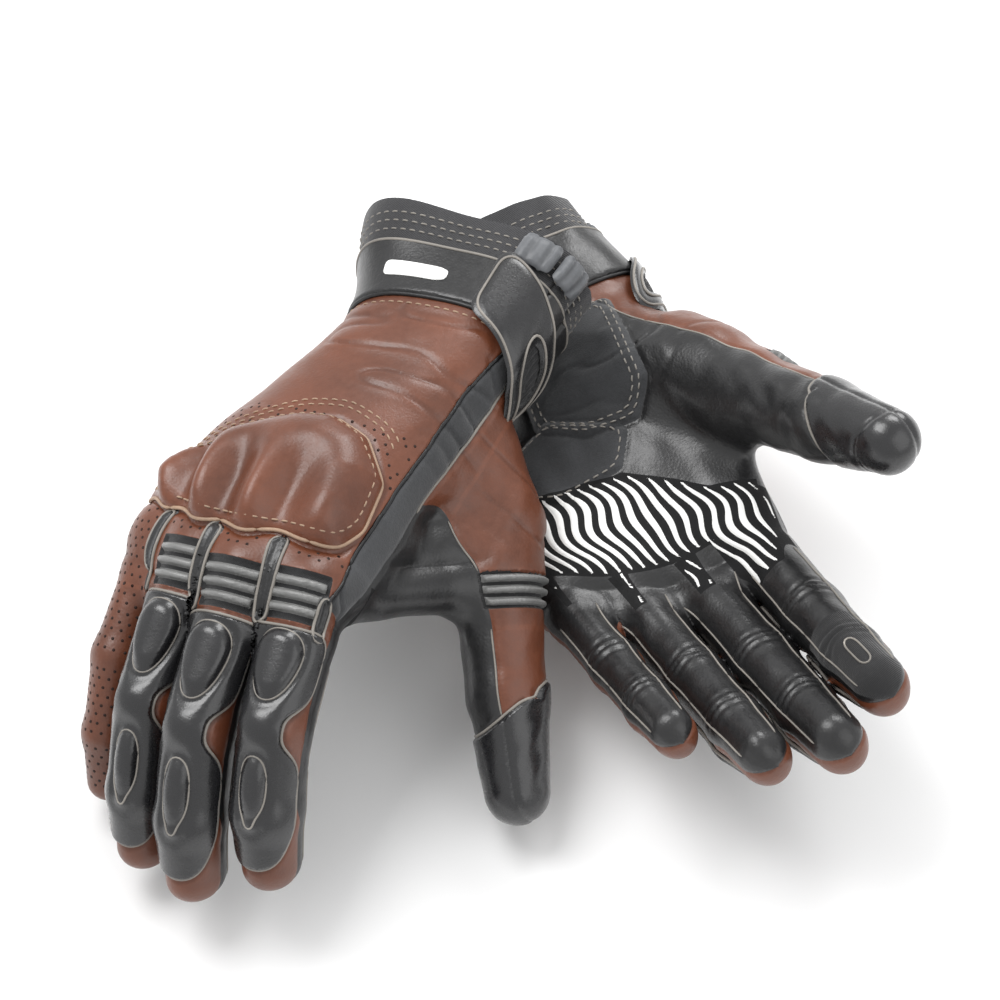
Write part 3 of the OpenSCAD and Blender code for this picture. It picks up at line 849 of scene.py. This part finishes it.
def height(c, f):
    """How far the leather stands above the plain surface."""
    h = 0.22 * noise(c.p, 13)
    edge = np.clip(-f["guard"] / 15, 0, 1)
    toward_front = smoothstep(c.ahead, -42, -18)
    h += GUARD_HEIGHT * np.sqrt(1 - (1 - edge) ** 2) * (1 - 0.68 * (1 - c.dome) * toward_front)
    h -= 0.7 * dent(f["guard"] - 1.0, 1.0)
    wrist = smoothstep(c.y, -42, -18) * (1 - smoothstep(c.y, CUFF_SEAM - 3, CUFF_SEAM + 1))
    folds = noise(c.p * [0.35, 1.0, 0.35], 7.5)
    h += wrist * (0.75 * folds - 0.5 * dent(folds - 0.1, 0.12))
    not_guard = 1 - rise(f["guard"], 1)
    not_loop = 1 - rise(f["loop"] - 0.8, 1.2)
    h -= 1.0 * rise(f["ribzone"], 0.6) * not_guard * not_loop
    h += 1.9 * rise(f["rib"], 0.9) * not_loop
    h += 1.5 * rise(f["overlay"], 1.6) - 0.5 * dent(f["overlay"] - 0.5, 0.8)
    h += 1.5 * rise(f["pad"], 2.6) - 0.9 * dent(f["pad"], 0.85)
    h += 0.9 * rise(f["loop"], 1.2) - 0.4 * rise(f["loop"] + 1.3, 0.7)
    for name in ("back", "strip", "thumb_back"):
        h -= 0.45 * dent(f[name], 0.8) * not_guard
    h += 1.5 * rise(f["cuff"], 1.3) - 1.6 * rise(f["flare"], 1.2)
    h += flare(c.flare, c.theta, c.y)
    for name, up in (("heel_upper", 1.3), ("heel_lower", 0.9)):
        h += up * rise(f[name], 2.2) - 0.4 * dent(f[name] - 0.3, 0.8)
    h += 0.35 * rise(f["stripe"], 0.45)
    h -= 0.9 * rise(f["thumb_ribzone"], 0.6)
    h += 1.8 * rise(f["thumb_rib"], 0.8)
    h += 0.9 * rise(f["thumb_tip"], 1.4) - 0.4 * dent(f["thumb_tip"] - 0.4, 0.7)
    palm_side = smoothstep(c.off, 110, 140) * smoothstep(c.s, 2, 8)
    for joint in (c.joint1, c.joint2):
        for shift, deep in ((-3.2, 0.45), (0, 0.75), (3.2, 0.45)):
            bend = c.s - joint - shift + 1.2 * noise(c.p, 8)
            h -= palm_side * deep * dent(bend, 0.9)
    h += palm_side * 0.35 * noise(c.p * [1.0, 0.5, 1.0], 5)
    palm = smoothstep(-c.z, 3, 9) * (c.finger >= 0) * (1 - smoothstep(c.s, -2, 4))
    h += palm * (1 - rise(f["grip"], 2)) * 0.6 * noise(c.p * [1.0, 0.45, 1.0], 6)
    return h


# --- zones: the body, or the two bodies, of each part of the surface ----------------

ZONE_FIELDS = 8


def zone_fields(glove, c):
    """Borders: the thumb, all fingers, between fingers (3), two across them, across the thumb."""
    thumb = within(-c.out, c.thumb - c.apart.min(axis=0) - 4, c.y - CUFF_SEAM + 4)
    fingers = -7 - c.ahead
    between = [within(fingers, c.apart[:i].min(axis=0) - c.apart[i:].min(axis=0))
               for i in (1, 2, 3)]
    across = [np.where(fingers < 0, c.s - middle, -9)
              for middle in (c.joint1 / 2, (c.joint1 + c.joint2) / 2)]
    return [thumb, fingers, *between, *across,
            within(thumb, c.ts - glove.thumb[1].length / 2)]


def zone_labels(glove, c):
    """For each point the number of its zone, in the order of zones()."""
    thumb, fingers = (field < 0 for field in zone_fields(glove, c)[:2])
    step = (c.s > c.joint1 / 2).astype(int) + (c.s > (c.joint1 + c.joint2) / 2)
    labels = np.where(fingers, 1 + 3 * c.finger + step, 0)
    return np.where(thumb, np.where(c.ts > glove.thumb[1].length / 2, 14, 13), labels)


def zones(glove):
    """For each zone its name and its bodies: one, or two with the ends of the bend between them."""
    def row(p):
        return Vector((glove.origin + p @ glove.axes) * 0.001)

    n = glove.name
    out = [("shell", (f"{n}_shell",))]
    for finger, limbs in zip(FINGERS, glove.fingers):
        j = [l.start for l in limbs]
        bodies = [f"{n}_shell", f"{n}_{finger}_root", f"{n}_{finger}_mid", f"{n}_{finger}_end"]
        starts = (j[0] + [0, 7, 0], j[1] - limbs[0].along * 10, j[2] - limbs[1].along * 8)
        for k, part in enumerate(("proximal", "middle", "tip")):
            end = j[k] + limbs[k].along * (14, 10, 8)[k]
            out.append((f"{finger}_{part}", (bodies[k], bodies[k + 1], row(starts[k]), row(end))))
    t = glove.thumb
    reach = t[1].start @ THUMB_SIDE - THUMB_START[n]
    out.append(("thumb_base", (f"{n}_shell", f"{n}_thumb_root",
                               row(t[1].start - THUMB_SIDE * reach), row(t[1].start))))
    out.append(("thumb_tip", (f"{n}_thumb_root", f"{n}_thumb_end",
                              row(t[2].start - t[1].along * 10),
                              row(t[2].start + t[2].along * 10))))
    return out


def move_with(obj, motion):
    if len(motion) == 1:
        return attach(obj, motion[0])
    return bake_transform(obj)


# --- materials ----------------------------------------------------------------------

def srgb(r, g, b):
    def linear(v):
        v /= 255
        return v / 12.92 if v <= 0.04045 else ((v + 0.055) / 1.055) ** 2.4
    return (linear(r), linear(g), linear(b), 1)


def material(name, colour, rough, grain=1500, depth=0.25, variation=0.12, sheen=0.0, coat=0.0,
             weave=0.0, specular=0.5):
    """Leather or cloth: pebbled grain, colour drift, painted shade (darker hollows, lighter raised edges),
    optional weave and nap.
    """
    mat = bpy.data.materials.new(name)
    mat.use_nodes = True
    nodes, links = mat.node_tree.nodes, mat.node_tree.links
    shader = nodes["Principled BSDF"]
    shader.inputs["Roughness"].default_value = rough
    shader.inputs["Specular IOR Level"].default_value = specular
    shader.inputs["Sheen Weight"].default_value = sheen
    shader.inputs["Coat Weight"].default_value = coat
    shader.inputs["Coat Roughness"].default_value = 0.25
    at = nodes.new("ShaderNodeTexCoord").outputs["Object"]

    def texture(kind, scale, **settings):
        node = nodes.new(kind)
        for key, value in settings.items():
            node.inputs[key].default_value = value
        node.inputs["Scale"].default_value = scale
        links.new(at, node.inputs["Vector"])
        return node

    def math_node(operation, a, b):
        node = nodes.new("ShaderNodeMath")
        node.operation = operation
        for socket, value in zip(node.inputs, (a, b)):
            if isinstance(value, (int, float)):
                socket.default_value = value
            else:
                links.new(value, socket)
        return node.outputs[0]

    drift = texture("ShaderNodeTexNoise", 45, Detail=5).outputs[0]
    fine = texture("ShaderNodeTexNoise", grain * 0.35, Detail=3).outputs[0]
    cells = texture("ShaderNodeTexVoronoi", grain, Randomness=0.9)
    cells.feature = "SMOOTH_F1"
    pebble = cells.outputs["Distance"]
    def mix(a, share_a, b, share_b):
        return math_node("ADD", math_node("MULTIPLY", a, share_a),
                         math_node("MULTIPLY", b, share_b))

    ramp = nodes.new("ShaderNodeValToRGB")
    links.new(mix(drift, 0.75, fine, 0.25), ramp.inputs[0])
    for stop, position, change in zip(ramp.color_ramp.elements, (0.32, 0.68),
                                      (1 - 2.2 * variation, 1 + 1.6 * variation)):
        stop.position = position
        stop.color = tuple(min(1, v * change) for v in colour[:3]) + (1,)
    bump_height = mix(pebble, 0.7, fine, 0.6)
    if weave:
        wave = texture("ShaderNodeTexWave", weave, Distortion=0.6)
        wave.wave_type = "BANDS"
        wave.bands_direction = "DIAGONAL"
        bump_height = math_node("ADD", bump_height, math_node("MULTIPLY", wave.outputs[1], 0.8))
    # painted shade: hollows are darker and raised edges lighter, by pointiness
    geometry = nodes.new("ShaderNodeNewGeometry")
    painted_shade_by_pointiness = nodes.new("ShaderNodeMapRange")
    links.new(geometry.outputs["Pointiness"], painted_shade_by_pointiness.inputs[0])
    for k, value in enumerate((0.44, 0.53, 0.6, 1.12)):
        painted_shade_by_pointiness.inputs[k + 1].default_value = value
    shade = nodes.new("ShaderNodeVectorMath")
    shade.operation = "SCALE"
    links.new(ramp.outputs[0], shade.inputs[0])
    links.new(painted_shade_by_pointiness.outputs[0], shade.inputs["Scale"])
    links.new(shade.outputs[0], shader.inputs["Base Color"])
    rough_out = math_node("ADD", math_node("MULTIPLY", fine, 0.22), rough - 0.11)
    links.new(rough_out, shader.inputs["Roughness"])
    bump = nodes.new("ShaderNodeBump")
    bump.inputs["Strength"].default_value = depth
    bump.inputs["Distance"].default_value = 0.0003
    links.new(bump_height, bump.inputs["Height"])
    links.new(bump.outputs[0], shader.inputs["Normal"])
    return mat


# name, colour in sRGB, roughness and what else differs
MATERIALS = {name: material(name, srgb(*colour), rough, **more) for name, colour, rough, more in (
    ("brown_leather", (101, 56, 36), 0.4, dict(grain=1300, depth=0.3, coat=0.15)),
    ("black_leather", (30, 30, 31), 0.36, dict(grain=1300, depth=0.35, coat=0.2)),
    ("padded_leather", (27, 27, 29), 0.28, dict(grain=1700, depth=0.22, coat=0.5, variation=0.05)),
    ("grey_suede", (56, 57, 59), 0.85,
     dict(grain=2600, depth=0.5, variation=0.2, sheen=0.35, specular=0.25)),
    ("grip_print", (20, 20, 21), 0.8, dict(grain=1800, depth=0.4, specular=0.3)),
    ("silicone", (226, 226, 224), 0.38, dict(grain=900, depth=0.08, variation=0.03)),
    ("stretch_pleat", (118, 118, 117), 0.38, dict(grain=1500, depth=0.25)),
    ("stretch_fabric", (24, 24, 26), 0.75, dict(depth=0.5, weave=900, sheen=0.2)),
    ("cuff_fabric", (34, 34, 37), 0.7, dict(depth=0.5, weave=700, sheen=0.25)),
    ("piping", (166, 160, 152), 0.5, dict(grain=1800, depth=0.3, variation=0.1)),
    ("tan_thread", (196, 164, 138), 0.6, dict(grain=2400, depth=0.3)),
    ("black_piping", (28, 28, 30), 0.4, dict(grain=1500, depth=0.25)),
    # painted shade: the dark inside a punched hole, for the discs laid where the holes are
    ("hole", (40, 22, 15), 0.9, dict(grain=1500, depth=0.1)),
    ("rubber_tab", (92, 94, 97), 0.45, dict(grain=2400, depth=0.2)),
)}


def link(name, data):
    obj = bpy.data.objects.new(name, data)
    bpy.context.scene.collection.objects.link(obj)
    return obj


def make_object(glove, name, verts, tris, finish, motion, normals=None):
    """A Blender mesh from points in the hand frame, attached to its zone's body when the zone has only one."""
    if glove.side < 0:
        tris = tris[:, ::-1]
    mesh = bpy.data.meshes.new(name)
    mesh.vertices.add(len(verts))
    placed = (glove.origin + verts @ glove.axes) * 0.001
    mesh.vertices.foreach_set("co", placed.astype(np.float32).ravel())
    mesh.loops.add(3 * len(tris))
    mesh.loops.foreach_set("vertex_index", tris.astype(np.int32).ravel())
    mesh.polygons.add(len(tris))
    mesh.polygons.foreach_set("loop_start", np.arange(0, 3 * len(tris), 3, dtype=np.int32))
    mesh.update(calc_edges=True)
    mesh.polygons.foreach_set("use_smooth", np.ones(len(tris), bool))
    if normals is not None:
        mesh.normals_split_custom_set_from_vertices((normals @ glove.axes).tolist())
    mesh.materials.append(MATERIALS[finish])
    obj = link(name, mesh)
    return move_with(obj, motion)


# --- building a glove ---------------------------------------------------------------

SHORTEST_LINE = 6.0


def seam_work(verts, normals, tris, c, f):
    """Piping and stitches: (kind, points, normals, closed) lines for one zone."""
    everywhere = np.ones(len(verts), bool)
    behind = (c.y > -68) & (c.z > 0) & (c.y < CUFF_SEAM) & (c.theta > 42) & (c.theta < 165)
    beside = (c.ahead < 9) & (c.y < CUFF_SEAM + 1)
    strip_lines = [(kind, to_mm(c.theta - angle, STRIP_RADIUS), 0.0,
                    keep & beside & (np.abs(c.theta - angle) < 12))
                   for kind, angle, keep in (("piping", STRIP[0], f["thumb_back"] < 2),
                                             ("black_piping", STRIP[1], f["guard"] > 0.5))]
    side_of_finger = (c.s > 16) & (c.s < c.tip - 6) & (c.palm > 3) & (c.thumb > 4)
    side_of_thumb = (c.thumb < c.palm) & (f["thumb_tip"] > 0) & (f["thumb_ribzone"] > 0.5)
    out = []
    for kind, field, level, where in (
            ("tan_piping", "guard", -0.2, everywhere), ("tan_stitch", "guard", -2.6, everywhere),
            ("tan_stitch", "guard", 6.6, behind), ("tan_stitch", "guard", 8.8, behind),
            ("piping", "overlay", -0.5, everywhere), ("piping", "loop", -0.4, everywhere),
            ("thin_piping", "pad", -0.3, c.finger < 3), *strip_lines,
            ("piping", "thumb_tip", 0.2, everywhere), ("black_piping", "cuff", -0.3, everywhere),
            ("piping", "flare", -0.2, everywhere), ("stitch", "flare", -5.0, everywhere),
            ("stitch", "flare", -8.0, everywhere), ("stitch", "flare", -11.0, everywhere),
            ("tan_stitch", "cuff", 3.0, c.theta > 40), ("stitch", "heel_upper", -1.8, everywhere),
            ("stitch", "heel_lower", -1.8, everywhere), ("stitch", "heel_upper", -4.0, everywhere),
            ("thin_piping", to_mm(c.off - 128, c.r), 0.0, side_of_finger),
            ("thin_piping", "thumb_back", 0.4, side_of_thumb),
            ("thin_piping", "bar", 0.0, everywhere)):
        if isinstance(field, str):
            field = f[field]
        for line in isolines(verts, normals, tris[where[tris].all(axis=1)], field, level):
            length = np.linalg.norm(np.diff(line[0], axis=0), axis=1).sum()
            if len(line[0]) > 3 and length > SHORTEST_LINE:
                out.append((kind,) + line)
    return out


HOLE = (0.5, 0.04, 0.3)                 # radius, top over the leather and depth of a punched hole
HOLE_PITCH = 3.3


def perforations(c, f):
    """Where the brown leather is punched: beside the guard and along the little finger."""
    plain = (f["back"] < -2.5) & (f["loop"] > 1.6) & (f["ribzone"] > 1.5) & (f["overlay"] > 1.5)
    between_stitches = np.abs(f["guard"] - 7.7) < 2
    beside = (plain & (f["guard"] > 2) & (f["guard"] < 14) & ~between_stitches
              & (c.ahead < 3) & (c.z > 0) & (c.y < -32))
    along = plain & (c.finger == 3) & (c.s > 0) & (c.s < c.tip - 8)
    side = np.where(c.radial, -1, 1) * to_mm(c.off, c.r)
    return np.concatenate([lattice_picks(c.x, c.y, beside & ~along, HOLE_PITCH),
                           lattice_picks(side, c.s, along, HOLE_PITCH)])


# for each kind of line its material and radius; stitches have their own
LINE_KINDS = {
    "tan_piping": ("tan_thread", PIPING), "piping": ("piping", PIPING * 0.8),
    "thin_piping": ("piping", PIPING * 0.5), "black_piping": ("black_piping", PIPING * 1.2),
    "tan_stitch": ("tan_thread", None), "stitch": ("piping", None),
}


FEWEST_TRIANGLES = 12                   # a smaller scrap of a region is left out


def cut_surface(glove):
    """The plain surface, its triangles split along the border of every zone and region."""
    verts, tris = glove_surface(glove)
    verts, tris = cut(verts, tris, verts[:, 1] - CUFF_END)
    tris = tris[verts[tris].mean(axis=1)[:, 1] < CUFF_END]
    for k in range(ZONE_FIELDS):
        verts, tris = cut(verts, tris, zone_fields(glove, glove.places(verts))[k])
    for name, level in [(field, 0.0) for _, field, _, _ in REGIONS] + list(EXTRA_CUTS):
        verts, tris = cut(verts, tris, fields(glove.places(verts))[name] - level)
    return verts, tris


def build_glove(glove):
    def look(points):
        c = glove.places(points)
        return c, fields(c)

    verts, tris = cut_surface(glove)
    shaped = verts + vertex_normals(verts, tris) * height(*look(verts))[:, None]
    normals = vertex_normals(shaped, tris)
    middle, middle_fields = look(verts[tris].mean(axis=1))
    zone_of = zone_labels(glove, middle)
    region_of = np.full(len(tris), -1)
    for k, (_, field, _, _) in enumerate(REGIONS):
        region_of[middle_fields[field] < 0] = k
    built = {}
    for z, (zone, motion) in enumerate(zones(glove)):
        for k in range(-1, len(REGIONS)):
            mask = (zone_of == z) & (region_of == k)
            if mask.sum() < FEWEST_TRIANGLES:
                continue
            label, _, finish, _ = REGIONS[k] if k >= 0 else ("palm", None, "black_leather", None)
            v, n, t = shell(shaped, normals, tris[mask], LEATHER)
            name = f"{glove.name}_{zone}_{label}"
            built[zone, label] = make_object(glove, name, v, t, finish, motion, n)
        used, part = compacted(tris[zone_of == z])
        here = look(verts[used])
        details = {}
        for kind, points, up, closed in seam_work(shaped[used], normals[used], part, *here):
            finish, radius = LINE_KINDS[kind]
            if radius is None:
                made = stitches(points, up, closed)
            else:
                line = resample(points, up, closed, LINE_PITCH, 3)
                made = tube(*line, radius) if line is not None else None
            if made is not None:
                details.setdefault((finish, kind), []).append(made)
        # the holes are not cut: each is a dark disc carrying the hole's painted shade
        holes = perforations(*here)
        if len(holes):
            made = studs(shaped[used][holes], normals[used][holes], *HOLE)
            details["hole", "holes"] = [made]
        for (finish, kind), parts in details.items():
            v, t = join(parts)
            make_object(glove, f"{glove.name}_{zone}_{kind}", v, t, finish, motion)
    return built


def stand_in(glove, built):
    """Hides the CAD nodes that the pieces stand for."""
    n = glove.name
    stands_for = [(label, node) for label, _, _, node in REGIONS if node]
    stands_for += [("palm", "palm_panel"), ("shell", "thumb_gusset")]
    for finger in FINGERS:
        stands_for += [(f"{finger}_{part}", f"{finger}_{part}")
                       for part in ("proximal", "middle", "tip")]
        if finger != "little":
            stands_for += [(f"{finger}_proximal", f"{finger}_knuckle_pad"),
                           (f"{finger}_middle", f"{finger}_finger_pad")]
    stands_for += [("thumb_base", "thumb_base"), ("thumb_tip", "thumb_tip")]
    for key, node in stands_for:
        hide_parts(f"{n}_{node}")


# --- strap, tab and label: sheets laid on the cuff ----------------------------------

def body_point(glove, theta, y, rise_by):
    """The point that far over the hand's section at an angle."""
    t = np.radians(theta)
    x = glove.middle(y) + (body_width(y) + rise_by) * signed_power(np.cos(t), 0.8)
    z = body_z(y) + (body_height(y) + rise_by) * signed_power(np.sin(t), 0.8)
    return np.stack([x, y, z], axis=-1)


def sheet(glove, place, length, width, outline, pitch=0.9):
    """A trimmed sheet: place(a, b) gives points, outline(a, b) is negative on the sheet."""
    a, b = np.meshgrid(np.arange(0, length + pitch, pitch),
                       np.arange(-width, width + pitch, pitch), indexing="ij")
    rows, cols = a.shape
    i, j = np.meshgrid(np.arange(rows - 1), np.arange(cols - 1), indexing="ij")
    p = (i * cols + j).ravel()
    tris = faces((p, p + cols, p + 1), (p + 1, p + cols, p + cols + 1))
    flat = np.stack([a.ravel(), b.ravel(), np.zeros(a.size)], 1)
    flat, tris = cut(flat, tris, outline(flat[:, 0], flat[:, 1]))
    inside = outline(*flat[tris].mean(axis=1)[:, :2].T) < 0
    used, tris = compacted(tris[inside])
    flat = flat[used]
    verts = place(flat[:, 0], flat[:, 1])
    normals = vertex_normals(verts, tris)
    centre = np.array([glove.middle(verts[:, 1]), verts[:, 1], body_z(verts[:, 1])]).T
    if ((verts - centre) * normals).sum() < 0:
        tris, normals = tris[:, ::-1], -normals
    return flat, verts, normals, tris


def padded_sheet(glove, name, place, length, width, outline, profile, thickness, finish, motion,
                 trim=None, trim_level=-1.4):
    """A sheet raised by profile(a, b), with piping of the material trim along its edge."""
    flat, verts, normals, tris = sheet(glove, place, length, width, outline)
    verts = verts + normals * profile(flat[:, 0], flat[:, 1])[:, None]
    normals = vertex_normals(verts, tris)
    v, n, t = shell(verts, normals, tris, thickness)
    obj = make_object(glove, name, v, t, finish, motion, n)
    if trim:
        edge = outline(flat[:, 0], flat[:, 1])
        lines = [resample(*line, LINE_PITCH, 2)
                 for line in isolines(verts, normals, tris, edge, trim_level)]
        v, t = join([tube(*line, PIPING * 0.7) for line in lines if line is not None])
        make_object(glove, f"{name}_edge", v, t, trim, motion)
    return obj


def build_closure(glove):
    n = glove.name
    strap = (f"{n}_strap",)

    def strap_place(a, b):
        u = np.clip(a / STRAP_LENGTH, 0, 1.1)
        return body_point(glove, 74 - 118 * u, 30 - 28 * u ** 1.2 + b, 3.3 - 0.3 * u)

    def strap_outline(a, b):
        rounded = np.clip(a - 0.62 * STRAP_LENGTH, 0, None) / (0.4 * STRAP_LENGTH)
        half = (STRAP_HALF * (1 - 0.12 * a / STRAP_LENGTH)
                * np.sqrt(np.clip(1 - rounded ** 2, 0.03, 1)))
        body = smooth_max(np.abs(b) - half, np.maximum(1.5 - a, a - STRAP_LENGTH + 1), 6)
        return np.maximum(body, -oval(b + 0.5, a - STRAP_HOLE, 4.6, 10.5))

    def strap_profile(a, b):
        swell = 1.1 * np.sqrt(np.clip(-strap_outline(a, b) / 3.0, 0, 1))
        return swell + 0.25 * np.sin(a / 3.1 + b / 4) * smoothstep(a, 10, 30)

    piece = padded_sheet(glove, f"{n}_wrist_strap", strap_place, STRAP_LENGTH + 2, STRAP_HALF + 1,
                         strap_outline, strap_profile, 2.0, "padded_leather", strap, trim="piping")
    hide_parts(f"{n}_wrist_strap")

    # gathered elastic shows through the strap's hole
    padded_sheet(glove, f"{n}_elastic",
                 lambda a, b: strap_place(a + STRAP_HOLE - 14, b - 0.5), 28, 8,
                 lambda a, b: oval(b, a - 14, 6.6, 13.0),
                 lambda a, b: -1.2 + 0.8 * np.abs(np.sin(a * 1.15 + 0.5 * np.sin(b))),
                 0.8, "stretch_fabric", strap)

    def tab_outline(a, b):
        return smooth_max(np.abs(a - 7) - 6.6, np.abs(b) - 5.6, 2.5)

    def tab_profile(a, b):
        grooves = 0.9 * dent(np.abs(np.abs(a - 7) - 2.6), 0.6) + 0.6 * dent(np.abs(b) - 3.8, 0.5)
        return 1.9 * np.sqrt(np.clip(-tab_outline(a, b) / 1.8, 0, 1)) - grooves

    tabs = [padded_sheet(glove, f"{n}_pull_tab_{k}",
                         lambda a, b: body_point(glove, first + a * 2.05, 46.5 + b, 2.2), 14, 6,
                         tab_outline, tab_profile, 2.4, "rubber_tab", strap)
            for k, first in enumerate((8, 38))]
    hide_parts(f"{n}_pull_tab")

    def label_place(a, b):
        theta, y = 124 - a * 2.0, 28 + b
        return body_point(glove, theta, y, 1.9 + flare(FLARE[n], theta, y))

    padded_sheet(glove, f"{n}_blank_label", label_place, 18, 4,
                 lambda a, b: smooth_max(np.abs(a - 9) - 8.4, np.abs(b) - 2.6, 2),
                 lambda a, b: 0 * a, 0.6, "silicone", (f"{n}_shell",))


gloves = [Glove("right", 1), Glove("left", -1)]
for glove in gloves:
    stand_in(glove, build_glove(glove))
    build_closure(glove)

# --- floor, light and camera --------------------------------------------------------

low, high = (Vector(v) for v in CAD_BOUNDS)
centre = (low + high) / 2
FLOOR_HALF, FLOOR_GAP = 3, 0.0015
mesh = bpy.data.meshes.new("floor")
mesh.from_pydata([(x * FLOOR_HALF, y * FLOOR_HALF, low.z - FLOOR_GAP)
                  for x, y in ((-1, -1), (1, -1), (1, 1), (-1, 1))], [], [(0, 1, 2, 3)])
pale = bpy.data.materials.new("pale_floor")
pale.use_nodes = True
shader = pale.node_tree.nodes["Principled BSDF"]
shader.inputs["Base Color"].default_value = (0.9, 0.9, 0.9, 1)
shader.inputs["Roughness"].default_value = 0.8
mesh.materials.append(pale)
link("floor", mesh)

world = bpy.data.worlds.new("studio")
bpy.context.scene.world = world
world.use_nodes = True
background = world.node_tree.nodes["Background"]
background.inputs[0].default_value = (1, 1, 1, 1)
background.inputs[1].default_value = 0.8


def look_at(obj, place, target):
    obj.location = place
    obj.rotation_euler = (target - obj.location).to_track_quat("-Z", "Y").to_euler()


# name, place and size in metres, watts
for name, place, size, power in (("key", (-0.45, 0.25, 1.0), 0.6, 8),
                                 ("fill", (0.8, -0.5, 0.8), 1.0, 3),
                                 ("rim", (0.35, 0.9, 0.8), 0.5, 6)):
    lamp = bpy.data.lights.new(name, "AREA")
    lamp.size, lamp.energy = size, power
    look_at(link(name, lamp), place, centre)

# the photograph's view, found together with the gloves' places
ELEVATION, DISTANCE = math.radians(56), 1.038
target = Vector((centre.x + 0.0007, centre.y - 0.0054, low.z + 0.0316))
camera = link("camera", bpy.data.cameras.new("camera"))
camera.data.lens, camera.data.sensor_width = 119.3, 36
camera.data.shift_y = 0.045
look_at(camera, target + DISTANCE * Vector((0, -math.cos(ELEVATION), math.sin(ELEVATION))), target)
bpy.context.scene.camera = camera
bpy.context.scene.view_settings.view_transform = "Standard"
